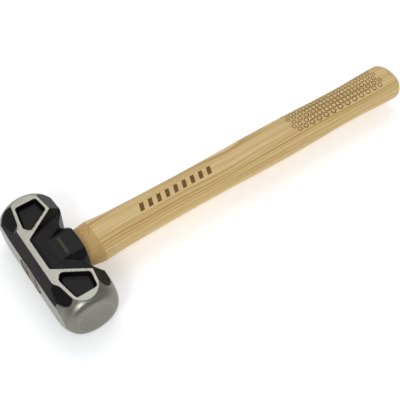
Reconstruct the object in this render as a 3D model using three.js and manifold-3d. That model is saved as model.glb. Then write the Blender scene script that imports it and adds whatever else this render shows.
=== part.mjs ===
// Short-handled, double-faced sledgehammer: a forged octagonal head on a hickory shaft, held by
// one timber wedge and two steel wedges. It lies on one cheek. The shaft runs along +X, the
// striking axis along Y, and the cheeks face up and down. All lengths are in millimetres.
import * as THREE from 'three';
import { ConvexGeometry } from 'three/addons/geometries/ConvexGeometry.js';
import { mergeVertices } from 'three/addons/utils/BufferGeometryUtils.js';
import Module from 'manifold-3d';

// Head. X is measured from the striking axis, towards the shaft.
const FACE_Y = 65.2;            // striking face to the middle of the head
const CHEEK_Z = 24.3;           // cheek to the middle of the head
const TOP_X = 26.8;             // flat top, on the side away from the shaft
const TOP_END_X = 25.7;         // the same beyond the striking faces, because the top is crowned
const UNDER_X = 24.6;           // end blocks, on the shaft side
const TURNING_X = -0.8;         // axis that the ends are turned on
const SIDE_HALF = 12.6;         // half height of the flat top and of the flat under side
const FACE_RADIUS = 17;         // flat striking face
const SPINE_OUTER = 19.8;       // rib along the top edge of each cheek, from the striking axis
const SPINE_INNER = 14.8;
const STEP_START = 31.2;        // where the spine's outer edge steps in, and where it ends
const STEP_END = 36.5;

// Hollow between the end blocks, on each cheek.
const HOLLOW_HALF = 17.3;       // half width at the spine
const HOLLOW_FLARE = 0.647;     // widening towards the shaft
const WALL_LEAN = 0.465;        // sideways lean of the hollow's walls for each mm of height
const FLOOR_START_X = -6.5;     // where the fall from the spine eases into the floor
const FLOOR_START_Z = 17.3;
const FLOOR_FALL = 0.28;        // fall of the floor towards the shaft

// Pockets in the end blocks.
const POCKET_DEPTH = 5;
const POCKET_LEAN = 2.1;        // how far the pocket's walls come in on the way down
const POCKET_CORNER = 1.6;

// Eye and collar.
const COLLAR_X = 22;
const COLLAR_TOP = 19.3;        // height of the collar's flat facets above the middle
const COLLAR_HALF = 11.9;       // half width of those facets
const FIT = 0.3;                // clearance between pieces that touch

// Shaft.
const TENON_X = -26.4;          // end of the tenon, just below the head's flat top
const SHOULDER_X = 36.5;
const DOME_X = 372;             // where the butt's dome starts
const DOME_DEPTH = 12;
const DOME_WIDTH = 19.9;        // half width of the shaft there
const FLATNESS = 0.7;           // height of the oval grip for each mm of width
const OVAL = 2.25;              // exponent of the oval: 2 is an ellipse

// Wedges.
const TIMBER_WEDGE = { length: 27, thick: 5, tip: 1.2, width: 32 };
const STEEL_WEDGE = { length: 18, thick: 2.6, tip: 0.7, width: 15, offset: 8 };

const wasm = await Module();
wasm.setup();

// ---- Shared shape tools ----

function solid(geometry) {
  const bare = geometry.clone();
  bare.deleteAttribute('normal');
  bare.deleteAttribute('uv');
  const merged = mergeVertices(bare, 1e-4);
  const position = merged.getAttribute('position');
  const index = merged.index;
  return new wasm.Manifold(new wasm.Mesh({
    numProp: 3,
    vertProperties: new Float32Array(position.array),
    triVerts: new Uint32Array(index.array),
  }));
}

function geometryOf(manifold) {
  const mesh = manifold.getMesh();
  const geometry = new THREE.BufferGeometry();
  geometry.setAttribute('position', new THREE.BufferAttribute(new Float32Array(mesh.vertProperties), 3));
  geometry.setIndex(Array.from(mesh.triVerts));
  geometry.computeVertexNormals();
  return geometry;
}

function hull(points) {
  return solid(new ConvexGeometry(points.map(([x, y, z]) => new THREE.Vector3(x, y, z))));
}

// Skin over rings of points that all have the same count, closed by a fan at each end.
function loft(rings) {
  const count = rings[0].length;
  const middles = [rings[0], rings[rings.length - 1]].map((ring) => {
    const sum = ring.reduce((total, point) => total.add(point), new THREE.Vector3());
    return sum.divideScalar(count);
  });
  const points = [...rings.flat(), ...middles];
  const first = points.length - 2;
  const last = points.length - 1;
  const index = [];
  for (let side = 0; side < count; side += 1) {
    const next = (side + 1) % count;
    for (let ring = 0; ring < rings.length - 1; ring += 1) {
      const a = ring * count + side;
      const b = ring * count + next;
      index.push(a, b, b + count, a, b + count, a + count);
    }
    const end = (rings.length - 1) * count;
    index.push(first, next, side, last, end + side, end + next);
  }
  const geometry = new THREE.BufferGeometry().setFromPoints(points);
  geometry.setIndex(index);
  return solid(geometry);
}

// Oval in the YZ plane at one place along the shaft, anticlockwise as seen from the butt.
function ovalRing(x, halfWidth, halfHeight, sides) {
  return Array.from({ length: sides }, (_, i) => {
    const angle = (2 * Math.PI * i) / sides;
    const c = Math.cos(angle);
    const s = Math.sin(angle);
    const reach = (Math.abs(c) ** OVAL + Math.abs(s) ** OVAL) ** (-1 / OVAL);
    return new THREE.Vector3(x, halfWidth * c * reach, halfHeight * s * reach);
  });
}

// Tapered block along X from its outer end, wide along Y and thick along Z.
function taperedBlock(outerX, length, width, thick, tip, grow) {
  const ring = (x, t) => {
    const y = width / 2 + grow;
    const z = t / 2 + grow;
    return [[x, -y, -z], [x, y, -z], [x, y, z], [x, -y, z]];
  };
  return hull([...ring(outerX - grow, thick), ...ring(outerX + length + grow, tip)]);
}

// ---- Head ----

// Octagonal forging blank: the chamfers widen towards the striking faces.
function headBlank() {
  const section = (y, spine, under, top) => [
    [-top, SIDE_HALF], [-spine, CHEEK_Z], [under, CHEEK_Z], [UNDER_X, SIDE_HALF],
    [UNDER_X, -SIDE_HALF], [under, -CHEEK_Z], [-spine, -CHEEK_Z], [-top, -SIDE_HALF],
  ].map(([x, z]) => new THREE.Vector3(x, y, z));
  const half = [
    [STEP_START, SPINE_OUTER, 15, TOP_X], [STEP_END, 16, 15, TOP_X],
    [FACE_Y + 2, 10, 10.5, TOP_END_X],
  ];
  const stations = [...half.map(([y, ...edges]) => [-y, ...edges]).reverse(), ...half];
  return loft(stations.map((station) => section(...station)));
}

// Turned ends: rounded from the body down to the flat striking face.
function turnedEnvelope() {
  const end = [
    [FACE_RADIUS, FACE_Y], [20.4, FACE_Y - 0.7], [22.6, FACE_Y - 2.2], [24.8, FACE_Y - 5],
    [26.4, FACE_Y - 8], [28.4, FACE_Y - 12.4], [32, FACE_Y - 20],
  ].map(([radius, y]) => new THREE.Vector2(radius, y));
  const otherEnd = end.map((point) => new THREE.Vector2(point.x, -point.y));
  const axis = (y) => new THREE.Vector2(0, y);
  const profile = [axis(-FACE_Y), ...otherEnd, ...end.reverse(), axis(FACE_Y)];
  return solid(new THREE.LatheGeometry(profile, 72)).translate([TURNING_X, 0, 0]);
}

// Hollow between the end blocks, open towards the shaft: it falls from the spine to a sloping
// floor, between two leaning walls.
function cheekHollow(up) {
  const roof = CHEEK_Z + 6;
  const openX = 32;
  const wallY = (x, z) => HOLLOW_HALF + HOLLOW_FLARE * (x + SPINE_INNER) + WALL_LEAN * (z - CHEEK_Z);
  const floorZ = FLOOR_START_Z - FLOOR_FALL * (openX - FLOOR_START_X);
  const spineFall = (CHEEK_Z - FLOOR_START_Z) / (FLOOR_START_X + SPINE_INNER);
  const backX = -SPINE_INNER - (roof - CHEEK_Z) / spineFall;
  const corners = [[backX, roof], [FLOOR_START_X, FLOOR_START_Z], [openX, floorZ], [openX, roof]];
  return hull([1, -1].flatMap((side) => corners.map(([x, z]) => [x, side * wallY(x, z), up * z])));
}

// Gap behind the cheeks, between the collar and the end blocks.
function underNotch() {
  const corners = [[15.5, 24], [32, 47]];
  const deep = CHEEK_Z + 1;
  return hull([1, -1].flatMap((side) => corners.flatMap(([x, y]) => [
    [x, side * y, deep], [x, side * y, -deep],
  ])));
}

// Collar round the eye: flat facets top and bottom, sloping off towards the end blocks and
// gathered to an eight-sided lip at the shaft.
function collar() {
  const quarter = [
    [-4.6, COLLAR_HALF, COLLAR_TOP], [COLLAR_X - 2, COLLAR_HALF, COLLAR_TOP],
    [COLLAR_X, COLLAR_HALF - 5, COLLAR_TOP], [COLLAR_X - 0.6, COLLAR_HALF + 0.6, COLLAR_TOP - 1.3],
    [COLLAR_X - 0.8, 16, 15], [COLLAR_X - 0.6, 18.9, 8.5], [COLLAR_X - 0.4, 20.6, 2],
    [-8, 20.5, 16.6], [6.4, 26, 12.6], [12, 26, 3],
  ];
  return hull(quarter.flatMap(([x, y, z]) => [[x, y, z], [x, -y, z], [x, y, -z], [x, -y, -z]]));
}

// Five-cornered pocket in one end of one cheek, with rounded corners and leaning walls.
function pocket(side, up) {
  const corners = [[-9.9, 53.5], [10, 53.3], [12.2, 37.9], [-9, 25], [-14, 30.5]]
    .map(([x, y]) => new THREE.Vector2(x, y));
  const centre = corners.reduce((sum, p) => sum.add(p), new THREE.Vector2()).divideScalar(corners.length);
  const outline = corners.flatMap((corner, i) => {
    const before = corners[(i + corners.length - 1) % corners.length];
    const after = corners[(i + 1) % corners.length];
    const from = before.clone().sub(corner).setLength(POCKET_CORNER).add(corner);
    const to = after.clone().sub(corner).setLength(POCKET_CORNER).add(corner);
    return new THREE.QuadraticBezierCurve(from, corner, to).getPoints(4);
  });
  const level = (shrink, z) => outline.map((point) => {
    const inward = centre.clone().sub(point).setLength(shrink).add(point);
    return [inward.x, side * inward.y, up * z];
  });
  return hull([...level(-POCKET_LEAN / 5, CHEEK_Z + 1), ...level(POCKET_LEAN, CHEEK_Z - POCKET_DEPTH)]);
}

// Half widths of the tenon, along Y and Z, at places along X. The eye follows it with clearance.
const TENON = [[TENON_X, 17, 11.8], [-12, 16.4, 11.3], [0, 16.2, 11.2], [12, 17.1, 12], [COLLAR_X, 18.5, 13]];

function eye() {
  const [, widthTop, heightTop] = TENON[0];
  const [, widthEnd, heightEnd] = TENON[TENON.length - 1];
  const inside = TENON.slice(1, -1).map(([x, w, h]) => [x, w + FIT, h + FIT]);
  const rings = [
    [-TOP_X - 2, widthTop + 2.4, heightTop + 2.4], [-TOP_X + 1.2, widthTop + FIT, heightTop + FIT],
    ...inside, [COLLAR_X - 1, widthEnd + FIT, heightEnd + FIT],
    [COLLAR_X + 2, widthEnd + 1.5, heightEnd + 1.5],
  ];
  return loft(rings.map(([x, w, h]) => ovalRing(x, w, h, 48)));
}

function head() {
  let body = headBlank().intersect(turnedEnvelope());
  for (const up of [1, -1]) body = body.subtract(cheekHollow(up));
  body = body.subtract(underNotch()).add(collar()).subtract(eye());
  for (const up of [1, -1]) {
    for (const side of [1, -1]) body = body.subtract(pocket(side, up));
  }
  return body;
}

// ---- Shaft and wedges ----

// Half width of the grip along its length.
const GRIP = new THREE.SplineCurve([
  [SHOULDER_X, 20.6], [44, 20], [53, 19.3], [66, 18.9], [95, 18.4], [150, 18.3], [233, 19.4],
  [271, 18.9], [315, 18.3], [350, 19.2], [DOME_X, DOME_WIDTH],
].map(([x, width]) => new THREE.Vector2(x, width)));

function shaftBlank() {
  const grip = GRIP.getPoints(28).map((point) => [point.x, point.y, point.y * FLATNESS]);
  const dome = Array.from({ length: 6 }, (_, i) => {
    const angle = ((i + 1) / 6.3) * (Math.PI / 2);
    const width = DOME_WIDTH * Math.cos(angle) ** 0.9;
    return [DOME_X + DOME_DEPTH * Math.sin(angle), width, width * FLATNESS];
  });
  const tip = [DOME_X + DOME_DEPTH, 0.8, 0.8 * FLATNESS];
  return loft([...TENON, ...grip, ...dome, tip].map(([x, w, h]) => ovalRing(x, w, h, 40)));
}

function timberWedgeBlank(grow) {
  const { length, thick, tip, width } = TIMBER_WEDGE;
  return taperedBlock(TENON_X, length, width, thick, tip, grow);
}

// The steel wedges stand across the timber one, so the tapered block is turned about X.
function steelWedgeBlank(side, grow) {
  const { length, thick, tip, width, offset } = STEEL_WEDGE;
  return taperedBlock(TENON_X, length, width, thick, tip, grow).rotate([90, 0, 0])
    .translate([0, side * offset, 0]);
}

function kerf() {
  const { length, thick, tip } = TIMBER_WEDGE;
  return taperedBlock(TENON_X - 1, length + 5, 60, thick, tip, FIT);
}

function cutSteelWedges(piece) {
  return piece.subtract(steelWedgeBlank(1, FIT)).subtract(steelWedgeBlank(-1, FIT));
}

// ---- Assembly ----

const STEEL = { color: 0x2b2a2c, roughness: 0.45, metalness: 0.6 };
const HICKORY = { color: 0xd2b985, roughness: 0.55, metalness: 0 };
const WEDGE_WOOD = { color: 0xb58a55, roughness: 0.7, metalness: 0 };
const WEDGE_STEEL = { color: 0x8b8a86, roughness: 0.4, metalness: 1 };

function piece(name, manifold, finish) {
  const mesh = new THREE.Mesh(geometryOf(manifold), new THREE.MeshStandardMaterial(finish));
  mesh.name = name;
  return mesh;
}

const hammer = new THREE.Group();
hammer.add(piece('head', head(), STEEL));
hammer.add(piece('shaft', cutSteelWedges(shaftBlank().subtract(kerf())), HICKORY));
hammer.add(piece('timber_wedge', cutSteelWedges(timberWedgeBlank(0)), WEDGE_WOOD));
hammer.add(piece('steel_wedge_left', steelWedgeBlank(1, 0), WEDGE_STEEL));
hammer.add(piece('steel_wedge_right', steelWedgeBlank(-1, 0), WEDGE_STEEL));

// The origin is under the middle of the whole hammer, on the plane that it lies on.
hammer.position.set((TOP_X - DOME_X - DOME_DEPTH) / 2, 0, CHEEK_Z);

const model = new THREE.Group();
model.add(hammer);
export default model;
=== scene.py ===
# Short-handled, double-faced sledgehammer: a forged head, wedged on a hickory shaft, lying on
# one cheek on a pale studio floor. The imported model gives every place. Blender's unit is the
# metre; the shapes are worked out in millimetres from the striking axis and then placed.
import math

import bpy
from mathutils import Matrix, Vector


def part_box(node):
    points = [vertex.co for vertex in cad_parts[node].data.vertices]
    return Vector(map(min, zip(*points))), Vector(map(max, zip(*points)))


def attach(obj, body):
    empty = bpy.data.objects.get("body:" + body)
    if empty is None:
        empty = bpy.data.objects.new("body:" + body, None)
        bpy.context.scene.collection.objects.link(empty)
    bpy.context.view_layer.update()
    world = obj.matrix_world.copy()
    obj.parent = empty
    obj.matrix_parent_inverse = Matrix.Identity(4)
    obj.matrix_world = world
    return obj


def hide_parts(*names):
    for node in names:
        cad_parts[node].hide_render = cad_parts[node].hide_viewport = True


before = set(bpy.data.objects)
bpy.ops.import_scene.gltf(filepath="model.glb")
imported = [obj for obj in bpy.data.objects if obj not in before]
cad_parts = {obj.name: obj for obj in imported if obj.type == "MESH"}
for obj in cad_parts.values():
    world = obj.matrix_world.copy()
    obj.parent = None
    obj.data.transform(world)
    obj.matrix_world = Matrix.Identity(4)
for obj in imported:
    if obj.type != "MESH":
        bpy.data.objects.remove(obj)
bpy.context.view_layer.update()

# ---- Head ----
# A drop forging in medium-carbon steel, soft at every edge. It is dipped in black paint, and then
# its ribs and its flat top are linished and both ends are turned on a lathe, so that bare steel
# shows, with crisp borders, wherever a tool has passed.

MM = 0.001
head_low, head_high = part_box("head")
FACE_Y = head_high.y / MM
CHEEK_Z = (head_high.z - head_low.z) / 2 / MM
TOP_X = 26.8
TOP_END_X = 25.7
TOP_FALL = 0.0358
AXIS = Vector((head_low.x + TOP_X * MM, 0, (head_high.z + head_low.z) / 2))
UNDER_X = 24.6
SIDE_HALF = 12.6
SPINE_OUTER = 19.8
SPINE_INNER = 14.8
STEP_START = 31.2
STEP_END = 36.5
END_Y = 67.2
STOCK = 0.7
HOLLOW_HALF = 17.3
HOLLOW_FLARE = 0.647
WALL_LEAN = 0.465
SPINE_FALL = 0.843
FLOOR_START_X = -6.5
FLOOR_START_Z = 17.3
FLOOR_FALL = 0.28
COLLAR_X = 22
COLLAR_TOP = 19.3
COLLAR_HALF = 11.9
COLLAR_BOW = 0.003
POCKET_CORNERS = [(-9.9, 53.5), (10, 53.3), (12.2, 37.9), (-9, 25), (-14, 30.5)]
POCKET_MIDDLE = (0, 40)
POCKET_DEPTH = 5
POCKET_LEAN = 0.42
EYE_HALF_WIDTH = 16.5
EYE_HALF_HEIGHT = 11.5
EYE_MOUTH_X = -25.8
OVAL = 2.25
TURNING_X = -0.8
FACE_RADIUS = 17
FACE_CROWN = 0.0006
UNEVENNESS = 0.12
VOXEL = 0.5
SETTLING_PASSES = 3
SETTLING = 0.8
FINE_TRIANGLES = 190000
NEAR_ROUNDING = 0.0119
FAR_ROUNDING = 0.0078
FAR_SHORT = 0.5
INK_BLACK = (0.0035, 0.0033, 0.0036)
DUSTY_BLACK = (0.013, 0.0108, 0.008)
BARE_STEEL = (0.215, 0.212, 0.184)
STAMP_X = 7.1
STAMP_HALF_LENGTH = 9.6
STAMP_PITCH = 2.4
STAMP_COLOUR = (0.20, 0.18, 0.12)


class Field:
    """A number at each point in space, worked out by nodes, which can be used in formulas."""

    def __init__(self, tree, socket):
        self.tree = tree
        self.socket = socket

    def math(self, operation, *others):
        node = self.tree.nodes.new("ShaderNodeMath")
        node.operation = operation
        for slot, value in zip(node.inputs, (self, *others)):
            if isinstance(value, Field):
                self.tree.links.new(value.socket, slot)
            else:
                slot.default_value = value
        return Field(self.tree, node.outputs[0])

    def __add__(self, other):
        return self.math("ADD", other)

    def __sub__(self, other):
        return self.math("SUBTRACT", other)

    def __mul__(self, other):
        return self.math("MULTIPLY", other)

    def __truediv__(self, other):
        return self.math("DIVIDE", other)

    def __pow__(self, other):
        return self.math("POWER", other)

    def __neg__(self):
        return self.math("MULTIPLY", -1.0)

    def abs(self):
        return self.math("ABSOLUTE")

    def at_least(self, floor):
        return self.math("MAXIMUM", floor)

    def at_most(self, roof):
        return self.math("MINIMUM", roof)

    def ramp(self, start, end):
        """0 up to start, 1 from end on, and smooth between them."""
        node = self.tree.nodes.new("ShaderNodeMapRange")
        node.interpolation_type = "SMOOTHSTEP"
        self.tree.links.new(self.socket, node.inputs["Value"])
        node.inputs["From Min"].default_value = start
        node.inputs["From Max"].default_value = end
        return Field(self.tree, node.outputs["Result"])


def vector_of(tree, x, y, z):
    node = tree.nodes.new("ShaderNodeCombineXYZ")
    for slot, value in zip(node.inputs, (x, y, z)):
        if isinstance(value, Field):
            tree.links.new(value.socket, slot)
        else:
            slot.default_value = value
    return node.outputs[0]


def axes_of(tree, socket):
    node = tree.nodes.new("ShaderNodeSeparateXYZ")
    tree.links.new(socket, node.inputs[0])
    return [Field(tree, output) for output in node.outputs]


def position_in(tree):
    return tree.nodes.new("GeometryNodeInputPosition").outputs[0]


def moved(tree, geometry, way, vector):
    """Geometry with its points at a new Position, or moved by an Offset."""
    node = tree.nodes.new("GeometryNodeSetPosition")
    tree.links.new(geometry, node.inputs["Geometry"])
    tree.links.new(vector, node.inputs[way])
    return node.outputs[0]


def noise(tree, place, scale, detail=2.0, roughness=0.5):
    """Soft random field from -1 to 1 or so."""
    node = tree.nodes.new("ShaderNodeTexNoise")
    tree.links.new(place, node.inputs["Vector"])
    node.inputs["Scale"].default_value = scale
    node.inputs["Detail"].default_value = detail
    node.inputs["Roughness"].default_value = roughness
    return (Field(tree, node.outputs[0]) - 0.5) * 2


def inside_all(fields, rounding):
    """What lies inside every field, with its outer edges rounded."""
    result = fields[0]
    for field in fields[1:]:
        result = result.math("SMOOTH_MAX", field, rounding)
    return result


def cut(body, tool, rounding):
    return inside_all([body, -tool], rounding)


def joined(body, boss, fillet):
    return body.math("SMOOTH_MIN", boss, fillet)


def new_tree(name, **sizes):
    """Empty Geometry Nodes tree with one named input for each size."""
    tree = bpy.data.node_groups.new(name, "GeometryNodeTree")
    tree.interface.new_socket("Geometry", in_out="OUTPUT", socket_type="NodeSocketGeometry")
    for label, value in sizes.items():
        kind = "NodeSocketInt" if isinstance(value, int) else "NodeSocketFloat"
        tree.interface.new_socket(label.replace("_", " "), in_out="INPUT", socket_type=kind)
    given = tree.nodes.new("NodeGroupInput")
    return tree, {label: Field(tree, given.outputs[label.replace("_", " ")]) for label in sizes}


def end_tree(tree, geometry, finish):
    """Realize Instances and Set Material, which every tree ends in."""
    real = tree.nodes.new("GeometryNodeRealizeInstances")
    coat = tree.nodes.new("GeometryNodeSetMaterial")
    coat.inputs["Material"].default_value = finish
    result = tree.nodes.new("NodeGroupOutput")
    tree.links.new(geometry, real.inputs[0])
    tree.links.new(real.outputs[0], coat.inputs["Geometry"])
    tree.links.new(coat.outputs[0], result.inputs[0])


def made(name, tree, sizes, triangles=None, bevel=None, sharp=None):
    """Plain mesh object from what a tree makes, thinned or bevelled if asked."""
    piece = bpy.data.objects.new(name, bpy.data.meshes.new(name))
    bpy.context.scene.collection.objects.link(piece)
    build = piece.modifiers.new("build", "NODES")
    build.node_group = tree
    for item in tree.interface.items_tree:
        if item.in_out == "INPUT":
            build[item.identifier] = sizes[item.name.replace(" ", "_")]
    if bevel:
        soften = piece.modifiers.new("soften", "BEVEL")
        soften.width = bevel
        soften.segments = 2
    graph = bpy.context.evaluated_depsgraph_get()
    if triangles:
        full = sum(len(face.vertices) - 2 for face in piece.evaluated_get(graph).data.polygons)
        if full > triangles:
            thin = piece.modifiers.new("thin", "DECIMATE")
            thin.ratio = triangles / full
            graph = bpy.context.evaluated_depsgraph_get()
    mesh = bpy.data.meshes.new_from_object(piece.evaluated_get(graph), depsgraph=graph)
    piece.modifiers.clear()
    piece.data = mesh
    mesh.shade_smooth()
    if sharp:
        mesh.set_sharp_from_angle(angle=math.radians(sharp))
    return piece


def plane(x, y, z, direction, reach):
    """Flat side at a reach from the origin; direction is any length."""
    size = Vector(direction).length
    a, b, c = (part / size for part in direction)
    return x * a + y * b + z * c - reach / size


def plane_through(x, y, z, a, b, c):
    """Flat side through three points, with the striking axis behind it."""
    a, b, c = Vector(a), Vector(b), Vector(c)
    out = (b - a).cross(c - a)
    if out.dot(a) < 0:
        out.negate()
    return plane(x, y, z, out, out.dot(a))


def forging(x, y, z):
    """The raw forging, in the quarter where Y and Z are positive, with stock left to grind."""
    def through(*corners):
        return plane_through(x, y, z, *corners)

    middle = through((-SPINE_OUTER, 0, CHEEK_Z), (-SPINE_OUTER, 10, CHEEK_Z), (-TOP_X, 0, SIDE_HALF))
    inner = (-16, STEP_END, CHEEK_Z)
    step = through((-SPINE_OUTER, STEP_START, CHEEK_Z), inner, (-TOP_X, STEP_END, SIDE_HALF))
    end = through(inner, (-10, END_Y, CHEEK_Z), (-TOP_END_X, END_Y, SIDE_HALF))
    spine_side = inside_all([middle, joined(step, end, 0.8)], 0.8)
    shaft_side = through((15, STEP_END, CHEEK_Z), (10.5, END_Y, CHEEK_Z), (UNDER_X, 50, SIDE_HALF))
    body = inside_all([
        plane(x, y, z, (-1, 0, 0), TOP_X + STOCK), plane(x, y, z, (1, 0, 0), UNDER_X),
        plane(x, y, z, (0, 0, 1), CHEEK_Z + STOCK), spine_side, shaft_side,
    ], 1.2)

    wall_reach = HOLLOW_HALF + HOLLOW_FLARE * SPINE_INNER - WALL_LEAN * CHEEK_Z
    wall = plane(x, y, z, (-HOLLOW_FLARE, 1, -WALL_LEAN), wall_reach)
    spine_fall = plane(x, y, z, (-SPINE_FALL, 0, -1), -CHEEK_Z + SPINE_FALL * SPINE_INNER)
    floor = plane(x, y, z, (-FLOOR_FALL, 0, -1), -FLOOR_START_Z + FLOOR_FALL * FLOOR_START_X)
    body = cut(body, inside_all([wall, spine_fall, floor], 1.2), 0.8)

    notch = inside_all([plane(x, y, z, (-1, 0, 0), -15.5), plane(x, y, z, (-1.394, 1, 0), 2.4)], 4)
    body = cut(body, notch, 1.6)
    foot = (6.4, 26, 12.6)
    rim_high = (21.4, 12.5, 18)
    rim_middle = (21.2, 16, 15)
    rim_low = (21.4, 18.9, 8.5)
    collar = inside_all([
        plane(x, y, z, (0, 0, 1), COLLAR_TOP), x + y * y * COLLAR_BOW - COLLAR_X,
        through((-4.6, 0, COLLAR_TOP), (-4.6, COLLAR_HALF, COLLAR_TOP), (-8, 20.5, 16.6)),
        through((0, COLLAR_HALF, COLLAR_TOP), (20, COLLAR_HALF, COLLAR_TOP), foot),
        through(rim_high, rim_middle, foot),
        through(rim_middle, rim_low, foot),
        through(rim_low, (21.6, 20.6, 2), (12, 26, 3)),
    ], 0.5)
    body = joined(body, collar, 0.8)

    walls = []
    for here, there in zip(POCKET_CORNERS, POCKET_CORNERS[1:] + POCKET_CORNERS[:1]):
        along = Vector(there) - Vector(here)
        out = Vector((along.y, -along.x)).normalized()
        if out.dot(Vector(here) - Vector(POCKET_MIDDLE)) < 0:
            out.negate()
        reach = out.dot(Vector(here)) - POCKET_LEAN * CHEEK_Z
        walls.append(plane(x, y, z, (out.x, out.y, -POCKET_LEAN), reach))
    bottom = plane(x, y, z, (0, 0, -1), POCKET_DEPTH - CHEEK_Z)
    pocket = inside_all([inside_all(walls, 3.2), bottom], 1.2)
    return cut(body, pocket, 0.5)


def eye(x, y, z):
    """Oval hole through the head, wider at both mouths."""
    swell = x.at_least(0.0) ** 2 * 0.0047 + (-x).at_least(0.0) ** 2 * 0.0013
    mouth = (-x + EYE_MOUTH_X).at_least(0.0) * 0.4
    wide = swell + mouth + EYE_HALF_WIDTH
    high = swell + mouth + EYE_HALF_HEIGHT
    oval = ((y / wide) ** OVAL + (z / high) ** OVAL) ** (1 / OVAL)
    return (oval - 1) * high


def linished(x, y, z):
    """Flat ribs on both cheeks, and the flat top, which falls a little towards the ends."""
    crown = -x + (y - STEP_END).at_least(0.0) * TOP_FALL - TOP_X
    return inside_all([z - CHEEK_Z, crown], 0.1)


def turned(x, y, z, far_end):
    """Both ends: a nearly flat striking face, rounded off into the body, less so at the far end."""
    radius = ((x - TURNING_X) ** 2 + z ** 2) ** 0.5
    beyond = (radius - FACE_RADIUS).at_least(0.0)
    rounding = far_end * (FAR_ROUNDING - NEAR_ROUNDING) + NEAR_ROUNDING
    return y + radius ** 2 * FACE_CROWN + beyond ** 3 * rounding + far_end * FAR_SHORT - FACE_Y


def mixed(tree, first, second, amount):
    """Colour between two others, each of which is three numbers or comes from a node."""
    node = tree.nodes.new("ShaderNodeMix")
    node.data_type = "RGBA"
    for slot, colour in ((node.inputs[6], first), (node.inputs[7], second)):
        if isinstance(colour, tuple):
            slot.default_value = (*colour, 1)
        else:
            tree.links.new(colour, slot)
    tree.links.new(amount.socket, node.inputs[0])
    return node.outputs[2]


def new_finish(name):
    """New material with its node tree, its shader and the object's own coordinates."""
    finish = bpy.data.materials.new(name)
    finish.use_nodes = True
    tree = finish.node_tree
    place = tree.nodes.new("ShaderNodeTexCoord").outputs["Object"]
    return finish, tree, tree.nodes["Principled BSDF"], place


def add_bump(tree, skin, height, distance=MM):
    bump = tree.nodes.new("ShaderNodeBump")
    bump.inputs["Distance"].default_value = distance
    tree.links.new(height.socket, bump.inputs["Height"])
    tree.links.new(bump.outputs[0], skin.inputs["Normal"])


def forged_steel():
    finish, tree, skin, place = new_finish("black_paint_and_bare_steel")
    millimetres = tree.nodes.new("ShaderNodeVectorMath")
    millimetres.operation = "SCALE"
    millimetres.inputs["Scale"].default_value = 1 / MM
    tree.links.new(place, millimetres.inputs[0])
    spot = millimetres.outputs[0]
    x, y, z = axes_of(tree, spot)

    def stored(name):
        node = tree.nodes.new("ShaderNodeAttribute")
        node.attribute_name = name
        return Field(tree, node.outputs["Fac"])

    ragged = noise(tree, spot, 0.9, 4.0, 0.65)
    bare = (stored("ground_off") + ragged * 0.05).ramp(-0.04, 0.06)
    on_lathe = stored("lathe_off").ramp(-0.05, 0.05)

    radius = ((x - (AXIS.x / MM + TURNING_X)) ** 2 + (z - AXIS.z / MM) ** 2) ** 0.5
    rings = noise(tree, vector_of(tree, radius * 1.0, y * 0.5, 0.0), 1.6, 3.0, 0.7)
    belt = noise(tree, vector_of(tree, x * 1.0, y * 0.045, z * 1.0), 2.6, 3.0, 0.7)
    tool = belt + on_lathe * (rings - belt)
    cloud = noise(tree, spot, 0.07, 3.0)
    coarse_rings = noise(tree, vector_of(tree, radius, 0.0, 0.0), 0.42, 2.0)
    # Painted highlight: a bright ring painted into the steel's colour where each striking face meets its
    # rounding.
    rim_highlight = (radius - FACE_RADIUS).abs().ramp(0.0, 1.1) * -1 + 1

    across = (x - (AXIS.x / MM + STAMP_X)).abs().ramp(1.3, 1.7) * -1 + 1
    within = y.abs().ramp(STAMP_HALF_LENGTH - 0.2, STAMP_HALF_LENGTH) * -1 + 1
    tick = ((y / STAMP_PITCH + x * 0.05).math("FRACT") - 0.5).abs().ramp(0.2, 0.3) * -1 + 1
    upper = (z - (AXIS.z / MM + COLLAR_TOP - 1)).ramp(0.0, 0.4)
    stamp = across * within * tick * upper * (ragged * 0.5 + 0.6).at_most(1.0).at_least(0.0)

    paint = mixed(tree, INK_BLACK, DUSTY_BLACK, (cloud + ragged * 0.3).ramp(-0.3, 1.1))
    # Lathe facing marks together with the painted rim highlight; the turned ends are also given a darker
    # steel tone just below.
    lathe_marks_and_rim_highlight = on_lathe * (coarse_rings * 0.35 + rim_highlight * 0.35)
    steel_tone = tool * 0.12 + cloud * 0.06 + lathe_marks_and_rim_highlight * 0.6 - on_lathe * 0.42 + 0.62
    dull, bright = (tuple(part * times for part in BARE_STEEL) for times in (0.78, 1.9))
    steel = mixed(tree, dull, bright, steel_tone)
    coated = mixed(tree, paint, STAMP_COLOUR, stamp * 0.75)
    tree.links.new(mixed(tree, coated, steel, bare), skin.inputs["Base Color"])
    tree.links.new(bare.socket, skin.inputs["Metallic"])
    paint_sheen = cloud * 0.06 + ragged * 0.05 + 0.27
    steel_sheen = tool * 0.08 - lathe_marks_and_rim_highlight * 0.1 + 0.28
    tree.links.new((paint_sheen + bare * (steel_sheen - paint_sheen)).socket, skin.inputs["Roughness"])
    skin.inputs["Specular IOR Level"].default_value = 0.15
    skin.inputs["Anisotropic"].default_value = 0.8
    tangent = tree.nodes.new("ShaderNodeTangent")
    tangent.direction_type = "RADIAL"
    tangent.axis = "Y"
    tree.links.new(tangent.outputs[0], skin.inputs["Tangent"])
    relief = ragged * 0.012 + noise(tree, spot, 3.0, 2.0) * 0.004
    relief = relief + bare * (tool * 0.004 + lathe_marks_and_rim_highlight * 0.02 - relief) - stamp * 0.08
    add_bump(tree, skin, relief)
    return finish


def in_metres(tree, geometry):
    """Takes work drawn in millimetres from the striking axis to its real place."""
    place = tree.nodes.new("GeometryNodeTransform")
    place.inputs["Scale"].default_value = (MM, MM, MM)
    place.inputs["Translation"].default_value = AXIS
    tree.links.new(geometry, place.inputs["Geometry"])
    return place.outputs[0]


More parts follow.
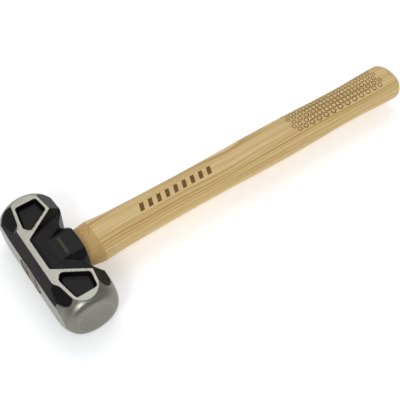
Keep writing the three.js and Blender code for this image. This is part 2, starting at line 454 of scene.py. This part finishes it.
def forged_head():
    sizes = {"voxel": VOXEL, "unevenness": UNEVENNESS}
    tree, given = new_tree("forged_head", **sizes)
    margin = 2

    def head_field():
        position = position_in(tree)
        x, y, z = axes_of(tree, position)
        hammered = noise(tree, position, 0.16, 2.0) * given["unevenness"]
        far_end = y.ramp(-1.0, 1.0)
        y, z = y.abs(), z.abs()
        raw = cut(forging(x, y, z), eye(x, y, z), 0.8) + hammered
        belt = linished(x, y, z)
        lathe = turned(x, y, z, far_end)
        return raw, belt, lathe, inside_all([raw, belt, lathe], 0.2)

    raw, belt, lathe, skin_field = head_field()
    low = Vector((-TOP_X, -FACE_Y, -CHEEK_Z)) - Vector((margin, margin, margin))
    high = Vector((UNDER_X, FACE_Y, CHEEK_Z)) + Vector((margin, margin, margin))
    volume = tree.nodes.new("GeometryNodeVolumeCube")
    tree.links.new((-skin_field).socket, volume.inputs["Density"])
    volume.inputs["Background"].default_value = -margin
    volume.inputs["Min"].default_value = low
    volume.inputs["Max"].default_value = high
    for size, label in zip(high - low, "XYZ"):
        steps = (given["voxel"] ** -1) * size
        tree.links.new(steps.socket, volume.inputs["Resolution " + label])
    skin = tree.nodes.new("GeometryNodeVolumeToMesh")
    skin.inputs["Threshold"].default_value = 0.0
    tree.links.new(volume.outputs[0], skin.inputs["Volume"])
    surface = skin.outputs[0]
    normal = tree.nodes.new("GeometryNodeInputNormal").outputs[0]
    for _ in range(SETTLING_PASSES):
        shift = tree.nodes.new("ShaderNodeVectorMath")
        shift.operation = "SCALE"
        tree.links.new(normal, shift.inputs[0])
        tree.links.new((skin_field * -SETTLING).socket, shift.inputs["Scale"])
        surface = moved(tree, surface, "Offset", shift.outputs[0])
    removed = {"ground_off": belt.at_least(lathe) - raw, "lathe_off": lathe - belt.at_least(raw)}
    for name, amount in removed.items():
        store = tree.nodes.new("GeometryNodeStoreNamedAttribute")
        store.inputs["Name"].default_value = name
        tree.links.new(surface, store.inputs["Geometry"])
        tree.links.new(amount.socket, store.inputs["Value"])
        surface = store.outputs[0]
    end_tree(tree, in_metres(tree, surface), forged_steel())
    return made("forged_head", tree, sizes, triangles=FINE_TRIANGLES)


head = forged_head()
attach(head, "root")
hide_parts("head")

# ---- Shaft ----
# Hickory, turned to an oval and sanded, with a steeper taper at the shoulder where it enters the
# head, a tenon through the eye and a domed butt. It is clear-lacquered, and the tenon is sawn
# down the middle for its wedge.

TENON_X = -26.4
SHOULDER_X = 36.5
DOME_X = 372
DOME_DEPTH = 12
DOME_ARC = 20
DOME_FULLNESS = 0.9
FLATNESS = 0.7
HALF_WIDTHS = [
    (TENON_X, 17), (-12, 16.4), (0, 16.2), (12, 17.1), (COLLAR_X, 18.5), (SHOULDER_X, 20.6), (44, 20),
    (53, 19.3), (66, 18.9), (95, 18.4), (150, 18.3), (233, 19.4), (271, 18.9), (315, 18.3),
    (350, 19.2), (DOME_X, 19.9),
]
NARROWEST = 16
WIDEST = 21
RINGS_ALONG = 300
SIDES_ROUND = 112
WEDGE_FIT = 0.3
KERF = {"length": 32, "width": 60, "thick": 5.2, "tip": 1.0}
TIMBER_WEDGE = {"length": 27, "width": 32, "thick": 5, "tip": 1.2}
STEEL_WEDGE = {"length": 18, "width": 15, "thick": 2.6, "tip": 0.7}
STEEL_WEDGE_OFFSET = 8


def half_width(tree, x):
    """Half width of the shaft at a place along it, on a smooth curve through the sizes above."""
    curve = tree.nodes.new("ShaderNodeFloatCurve")
    line = curve.mapping.curves[0]
    reach = DOME_X - TENON_X
    room = WIDEST - NARROWEST
    spots = [((at - TENON_X) / reach, (half - NARROWEST) / room) for at, half in HALF_WIDTHS]
    for point, spot in zip(line.points, (spots[0], spots[-1])):
        point.location = spot
    for spot in spots[1:-1]:
        line.points.new(*spot)
    for point in line.points:
        if abs(point.location.x - (SHOULDER_X - TENON_X) / reach) < 1e-4:
            point.handle_type = "VECTOR"
    curve.mapping.update()
    tree.links.new(((x - TENON_X) / reach).socket, curve.inputs["Value"])
    return Field(tree, curve.outputs[0]) * room + NARROWEST


def wedge_block(tree, length, width, thick, tip, grow=0.0, upright_at=None):
    """Tapered block driven in from the tenon's end; upright_at stands it across the timber wedge."""
    block = tree.nodes.new("GeometryNodeMeshCube")
    block.inputs["Size"].default_value = (1, 1, 1)
    u, v, w = axes_of(tree, position_in(tree))
    along = (u + 0.5) * (length + 2 * grow) + (TENON_X - grow)
    across = v * (width + 2 * grow)
    through = w * ((-u + 0.5) * thick + (u + 0.5) * tip + 2 * grow)
    if upright_at is not None:
        across, through = through + upright_at, across
    return moved(tree, block.outputs["Mesh"], "Position", vector_of(tree, along, across, through))


def minus(tree, body, tools):
    node = tree.nodes.new("GeometryNodeMeshBoolean")
    node.operation = "DIFFERENCE"
    node.solver = "EXACT"
    tree.links.new(body, node.inputs["Mesh 1"])
    for tool in tools:
        tree.links.new(tool, node.inputs["Mesh 2"])
    return node.outputs["Mesh"]


def welded(tree, geometry, distance):
    node = tree.nodes.new("GeometryNodeMergeByDistance")
    node.inputs["Distance"].default_value = distance
    tree.links.new(geometry, node.inputs["Geometry"])
    return node.outputs[0]


def oval_reach(c, s):
    """How far out the oval lies in the direction with this cosine and sine, for a half width of 1."""
    return (c.abs() ** OVAL + s.abs() ** OVAL) ** (-1 / OVAL)


def steel_wedge_cutters(tree):
    places = (STEEL_WEDGE_OFFSET, -STEEL_WEDGE_OFFSET)
    return [wedge_block(tree, **STEEL_WEDGE, grow=WEDGE_FIT, upright_at=place) for place in places]


def hickory(name, pith, ring_gap, dark=1.0):
    """Lacquered hickory: ochre latewood bands from growth rings round a distant pith."""
    finish, tree, skin, place = new_finish(name)
    x, y, z = axes_of(tree, place)
    x, y, z = (x - AXIS.x) / MM, y / MM, (z - AXIS.z) / MM

    tapered = (-x).ramp(-SHOULDER_X - 0.4, -SHOULDER_X + 0.8)
    slow = noise(tree, vector_of(tree, x * 0.009, y * 0.03, z * 0.03), 1.0, 1.0)
    wander = noise(tree, vector_of(tree, x * 0.02, y * 0.14, z * 0.14), 1.0, 3.0)
    from_pith_y = y - x * 0.012 + slow * 6 - pith[0]
    from_pith_z = z - pith[1]
    ring = (from_pith_y ** 2 + from_pith_z ** 2) ** 0.5 + wander * 0.5
    ring = ring + noise(tree, vector_of(tree, ring * 0.16, 0.0, 0.0), 1.0, 2.0) * 3.4
    ring = ring + (-x + SHOULDER_X).at_least(0.0) * 0.8
    phase = (ring / ring_gap).math("FRACT")
    late = phase.ramp(0.15, 0.85) * (-phase + 1).ramp(0.0, 0.14)
    strength = noise(tree, vector_of(tree, ring * 0.3, x * 0.004, 0.0), 1.0, 2.0).ramp(-0.5, 0.35)
    fibre = noise(tree, vector_of(tree, x * 0.03, y * 1.0, z * 1.0), 1.9, 4.0, 0.8)
    streak = noise(tree, vector_of(tree, x * 0.008, y * 0.3, z * 0.3), 1.0, 3.0)
    pores = noise(tree, vector_of(tree, x * 0.16, y * 2.4, z * 2.4), 1.0, 1.0).ramp(0.36, 0.62)

    end_grain = (-x).ramp(-TENON_X - 0.4, -TENON_X)

    def shade(red, green, blue):
        return red * dark, green * dark, blue * dark

    cream = shade(0.76, 0.575, 0.27)
    straw = shade(0.62, 0.42, 0.15)
    ochre = shade(0.44, 0.22, 0.048)
    amber = shade(0.46, 0.25, 0.065)
    walnut = shade(0.20, 0.105, 0.036)
    grime = shade(0.17, 0.165, 0.15)
    colour = mixed(tree, cream, straw, (streak * 0.8 + fibre * 0.75 + 0.42).ramp(0.0, 1.0))
    colour = mixed(tree, colour, ochre, late * strength * 0.8)
    colour = mixed(tree, colour, amber, tapered * 0.5)
    colour = mixed(tree, colour, walnut, pores * 0.22)
    colour = mixed(tree, colour, grime, end_grain * 0.9)
    tree.links.new(colour, skin.inputs["Base Color"])
    tree.links.new((fibre * 0.05 + pores * 0.10 + tapered * 0.08 + 0.44).socket, skin.inputs["Roughness"])
    skin.inputs["Specular IOR Level"].default_value = 0.35
    skin.inputs["Coat Weight"].default_value = 0.12
    skin.inputs["Coat Roughness"].default_value = 0.28
    add_bump(tree, skin, fibre * 0.015 - pores * 0.03 - late * strength * 0.01)
    return finish


def turned_shaft():
    sizes = {"rings": RINGS_ALONG, "sides": SIDES_ROUND}
    tree, given = new_tree("turned_shaft", **sizes)
    first = TENON_X - HALF_WIDTHS[0][1]
    last = DOME_X + DOME_ARC
    grid = tree.nodes.new("GeometryNodeMeshGrid")
    tree.links.new(given["rings"].socket, grid.inputs["Vertices X"])
    tree.links.new(given["sides"].socket, grid.inputs["Vertices Y"])
    grid.inputs["Size X"].default_value = 1
    grid.inputs["Size Y"].default_value = 1
    u, v, _ = axes_of(tree, position_in(tree))
    travel = (u + 0.5) * (last - first) + first
    angle = ((travel - DOME_X) * (math.pi / 2 / DOME_ARC)).at_least(0.0).at_most(math.pi / 2)
    x = travel.at_least(float(TENON_X)).at_most(float(DOME_X)) + angle.math("SINE") * DOME_DEPTH
    across_tenon = ((travel - first) / (TENON_X - first)).at_most(1.0)
    rounding = angle.math("COSINE").at_least(0.0) ** DOME_FULLNESS
    width = half_width(tree, x.at_most(float(DOME_X))) * across_tenon * rounding
    turn = (v + 0.5) * (-2 * math.pi)
    c, s = turn.math("COSINE"), turn.math("SINE")
    reach = oval_reach(c, s)
    surface = vector_of(tree, x, width * c * reach, width * s * reach * FLATNESS)
    closed = welded(tree, moved(tree, grid.outputs["Mesh"], "Position", surface), 0.001)
    kerf = wedge_block(tree, **KERF, grow=WEDGE_FIT)
    sawn = minus(tree, closed, [kerf, *steel_wedge_cutters(tree)])
    end_tree(tree, in_metres(tree, sawn), hickory("lacquered_hickory", (-45, -40), 2.3))
    return made("hickory_shaft", tree, sizes, sharp=28)


shaft = turned_shaft()
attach(shaft, "root")
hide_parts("shaft")

# ---- Timber wedge ----
# Hardwood wedge with sawn faces, glued and driven into the tenon's kerf to spread it along the
# eye. It is cut off level with the tenon.


def timber_wedge():
    tree, _ = new_tree("timber_wedge")
    cleft = minus(tree, wedge_block(tree, **TIMBER_WEDGE), steel_wedge_cutters(tree))
    end_tree(tree, in_metres(tree, cleft), hickory("wedge_hardwood", (-20, -30), 1.6, dark=0.62))
    return made("driven_timber_wedge", tree, {}, bevel=0.2 * MM, sharp=35)


timber = timber_wedge()
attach(timber, "root")
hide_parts("timber_wedge")

# ---- Steel wedges ----
# Two small mild-steel wedges, driven across the timber one to lock it. Their outer ends are
# bright and a little battered from the hammer that drove them.


def battered_steel():
    finish, tree, skin, place = new_finish("battered_wedge_steel")
    dents = noise(tree, place, 900.0, 3.0)
    tone = mixed(tree, (0.30, 0.29, 0.27), (0.55, 0.54, 0.51), dents.ramp(-0.6, 0.6))
    tree.links.new(tone, skin.inputs["Base Color"])
    skin.inputs["Metallic"].default_value = 1.0
    tree.links.new((dents * 0.12 + 0.42).socket, skin.inputs["Roughness"])
    add_bump(tree, skin, dents, distance=0.1 * MM)
    return finish


wedge_steel = battered_steel()


def steel_wedge(name, side):
    tree, _ = new_tree(name)
    block = wedge_block(tree, **STEEL_WEDGE, upright_at=side * STEEL_WEDGE_OFFSET)
    end_tree(tree, in_metres(tree, block), wedge_steel)
    return made(name, tree, {}, bevel=0.25 * MM, sharp=35)


for side, hand in ((1, "left"), (-1, "right")):
    wedge = steel_wedge("driven_steel_wedge_" + hand, side)
    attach(wedge, "root")
    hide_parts("steel_wedge_" + hand)

# ---- Burnt pattern on the grip, and the plain mark ----
# Staggered rows of small hexagons are burnt into the lacquered grip, over its upper face and
# round the far side. Nearer the head is a plain row of slanted bars. Both are charred strips, set
# into the surface and a hair's breadth proud of it.

RING_ROWS = 15
RING_COLUMNS = 14
RINGS_FROM = -8
RING_ROW_GAP = 4.76
RINGS_MIDDLE = 307.35
RING_PITCH = 9.0
RING_CROWDING = 0.0184
RING_SIZE = 0.31
RING_STROKE = 0.105
BURN_LIFT = 0.05
BURN_DEPTH = 0.3
USUAL_HALF_WIDTH = 18.8
MARK_FROM = 81
MARK_TO = 162
MARK_BARS = 9
BAR_WIDTH = 4.2
BAR_HEIGHT = 8.4
BAR_SLANT = 0.35


def burnt_wood():
    finish, tree, skin, place = new_finish("burnt_hickory")
    x, y, z = axes_of(tree, place)
    char = noise(tree, vector_of(tree, x * 120.0, y * 900.0, z * 900.0), 1.0, 3.0)
    tone = mixed(tree, (0.13, 0.06, 0.013), (0.26, 0.135, 0.036), char.ramp(-0.5, 0.7))
    tree.links.new(tone, skin.inputs["Base Color"])
    tree.links.new((char * 0.06 + 0.62).socket, skin.inputs["Roughness"])
    skin.inputs["Specular IOR Level"].default_value = 0.2
    return finish


burnt = burnt_wood()


def laid_on_shaft(tree, flat):
    """Wraps flat work round the shaft: X stays, Y becomes the way round from the top, Z stands out."""
    circle = tree.nodes.new("GeometryNodeCurvePrimitiveCircle")
    circle.inputs["Resolution"].default_value = 256
    circle.inputs["Radius"].default_value = 1
    position = position_in(tree)
    c, s, _ = axes_of(tree, position)
    reach = oval_reach(c, s)
    wide = USUAL_HALF_WIDTH
    outline = vector_of(tree, c * reach * wide, s * reach * (wide * FLATNESS), 0.0)
    section = moved(tree, circle.outputs[0], "Position", outline)
    measure = tree.nodes.new("GeometryNodeCurveLength")
    tree.links.new(section, measure.inputs[0])
    x, way, lift = axes_of(tree, position)
    sample = tree.nodes.new("GeometryNodeSampleCurve")
    sample.mode = "LENGTH"
    tree.links.new(section, sample.inputs["Curves"])
    tree.links.new((Field(tree, measure.outputs[0]) * 0.25 - way).socket, sample.inputs["Length"])
    y, z, _ = axes_of(tree, sample.outputs["Position"])
    along_y, along_z, _ = axes_of(tree, sample.outputs["Tangent"])
    swell = half_width(tree, x) / wide
    wrapped = vector_of(tree, x, y * swell + along_z * lift, z * swell - along_y * lift)
    return moved(tree, flat, "Position", wrapped)


def hexagon_ring(tree):
    """Ring of unit size with flat faces, two segments to a side, and corners to either side of X."""
    grid = tree.nodes.new("GeometryNodeMeshGrid")
    for label, value in (("Size X", 1), ("Size Y", 1), ("Vertices X", 13), ("Vertices Y", 5)):
        grid.inputs[label].default_value = value
    u, v, _ = axes_of(tree, position_in(tree))
    turn = (u + 0.5) * (2 * math.pi)
    sixth = (turn + math.pi / 6).math("MODULO", math.pi / 3) - math.pi / 6
    corner = ((v + 0.5) * 4 + 0.5).math("FLOOR").math("MODULO", 4.0)
    outer = corner.math("COMPARE", 0.5, 0.6)
    upper = corner.math("COMPARE", 1.5, 0.6)
    inner_reach = RING_SIZE * math.cos(math.pi / 6) - RING_STROKE / 2
    radius = (outer * RING_STROKE + inner_reach) / sixth.math("COSINE")
    height = upper * (BURN_LIFT + BURN_DEPTH) - BURN_DEPTH
    place = vector_of(tree, turn.math("COSINE") * radius, turn.math("SINE") * radius, height)
    return welded(tree, moved(tree, grid.outputs["Mesh"], "Position", place), 0.0001)


def grip_rings():
    sizes = {"rows": RING_ROWS, "columns": RING_COLUMNS, "row_gap": RING_ROW_GAP, "pitch": RING_PITCH}
    tree, given = new_tree("burnt_grip_rings", **sizes)
    points = tree.nodes.new("GeometryNodePoints")
    tree.links.new((given["rows"] * given["columns"]).socket, points.inputs["Count"])
    index = Field(tree, tree.nodes.new("GeometryNodeInputIndex").outputs[0])
    row = (index / given["columns"] + 0.001).math("FLOOR")
    column = index - row * given["columns"]
    short_row = (row + 1).math("MODULO", 2.0)
    u = column - (RING_COLUMNS - 1) / 2 + short_row * 0.5
    x = u * given["pitch"] - u * u * u * RING_CROWDING + RINGS_MIDDLE
    spots = vector_of(tree, x, row * given["row_gap"] + RINGS_FROM, 0.0)
    scatter = tree.nodes.new("GeometryNodeInstanceOnPoints")
    tree.links.new(moved(tree, points.outputs[0], "Position", spots), scatter.inputs["Points"])
    tree.links.new(hexagon_ring(tree), scatter.inputs["Instance"])
    past_end = (column - (RING_COLUMNS - 1.5)).math("GREATER_THAN", 0.0)
    kept = (short_row * past_end) * -1 + 1
    tree.links.new(kept.socket, scatter.inputs["Selection"])
    size = given["pitch"] - u * u * (3 * RING_CROWDING)
    tree.links.new(vector_of(tree, size, size, 1.0), scatter.inputs["Scale"])
    real = tree.nodes.new("GeometryNodeRealizeInstances")
    tree.links.new(scatter.outputs[0], real.inputs[0])
    end_tree(tree, in_metres(tree, laid_on_shaft(tree, real.outputs[0])), burnt)
    return made("burnt_grip_rings", tree, sizes, sharp=40)


def plain_mark():
    sizes = {"bars": MARK_BARS, "slant": BAR_SLANT}
    tree, given = new_tree("burnt_mark", **sizes)
    pitch = (MARK_TO - MARK_FROM) / MARK_BARS
    line = tree.nodes.new("GeometryNodeMeshLine")
    tree.links.new(given["bars"].socket, line.inputs["Count"])
    line.inputs["Start Location"].default_value = (MARK_FROM + pitch / 2, 0, 0)
    line.inputs["Offset"].default_value = (pitch, 0, 0)
    bar = tree.nodes.new("GeometryNodeMeshCube")
    bar.inputs["Size"].default_value = (BAR_WIDTH, BAR_HEIGHT, BURN_LIFT + BURN_DEPTH)
    bar.inputs["Vertices X"].default_value = 4
    bar.inputs["Vertices Y"].default_value = 9
    x, y, z = axes_of(tree, position_in(tree))
    level = z + (BURN_LIFT - BURN_DEPTH) / 2
    leaning = vector_of(tree, x + y * given["slant"], y, level)
    scatter = tree.nodes.new("GeometryNodeInstanceOnPoints")
    tree.links.new(line.outputs[0], scatter.inputs["Points"])
    tree.links.new(moved(tree, bar.outputs["Mesh"], "Position", leaning), scatter.inputs["Instance"])
    real = tree.nodes.new("GeometryNodeRealizeInstances")
    tree.links.new(scatter.outputs[0], real.inputs[0])
    end_tree(tree, in_metres(tree, laid_on_shaft(tree, real.outputs[0])), burnt)
    return made("burnt_mark", tree, sizes, sharp=40)


for pattern in (grip_rings(), plain_mark()):
    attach(pattern, "root")

# ---- Studio ----
# A wide, nearly white floor that gives off a little light of its own, under a pale surround and
# two soft lights. The camera looks down on the hammer from the flat top's side.

FLOOR_SIZE = 8
FLOOR_GLOW = 0.35
SURROUND_GLOW = 0.58
CAMERA_LENS = 76.5
CAMERA_PLACE = (-0.3017, -0.3860, 0.6454)
CAMERA_TURN = (36.09, -0.22, -34.77)


def studio_floor():
    mesh = bpy.data.meshes.new("studio_floor")
    half = FLOOR_SIZE / 2
    corners = [(-half, -half, 0), (half, -half, 0), (half, half, 0), (-half, half, 0)]
    mesh.from_pydata(corners, [], [(0, 1, 2, 3)])
    finish = bpy.data.materials.new("pale_floor")
    finish.use_nodes = True
    skin = finish.node_tree.nodes["Principled BSDF"]
    skin.inputs["Base Color"].default_value = (0.9, 0.9, 0.9, 1)
    skin.inputs["Roughness"].default_value = 0.9
    skin.inputs["Specular IOR Level"].default_value = 0.1
    skin.inputs["Emission Color"].default_value = (1, 1, 1, 1)
    skin.inputs["Emission Strength"].default_value = FLOOR_GLOW
    mesh.materials.append(finish)
    floor = bpy.data.objects.new("studio_floor", mesh)
    bpy.context.scene.collection.objects.link(floor)
    return floor


def soft_light(name, place, size, watts):
    """Round lamp that shines on the origin."""
    lamp = bpy.data.lights.new(name, "AREA")
    lamp.shape = "DISK"
    lamp.size = size
    lamp.energy = watts
    light = bpy.data.objects.new(name, lamp)
    light.location = place
    light.rotation_euler = (-light.location).to_track_quat("-Z", "Y").to_euler()
    bpy.context.scene.collection.objects.link(light)


studio_floor()
soft_light("overhead_softbox", (0.72, 1.05, 2.2), size=1.8, watts=13)
soft_light("key_softbox", (-1.3, -0.9, 1.5), size=0.6, watts=9)

surround = bpy.data.worlds.new("pale_surround")
surround.use_nodes = True
sky = surround.node_tree.nodes["Background"]
sky.inputs["Color"].default_value = (0.93, 0.95, 0.97, 1)
sky.inputs["Strength"].default_value = SURROUND_GLOW
bpy.context.scene.world = surround
bpy.context.scene.view_settings.view_transform = "Standard"

lens = bpy.data.cameras.new("camera")
lens.sensor_width = 36
lens.lens = CAMERA_LENS
lens.clip_start = 0.02
camera = bpy.data.objects.new("camera", lens)
camera.location = CAMERA_PLACE
camera.rotation_euler = [math.radians(angle) for angle in CAMERA_TURN]
bpy.context.scene.collection.objects.link(camera)
bpy.context.scene.camera = camera
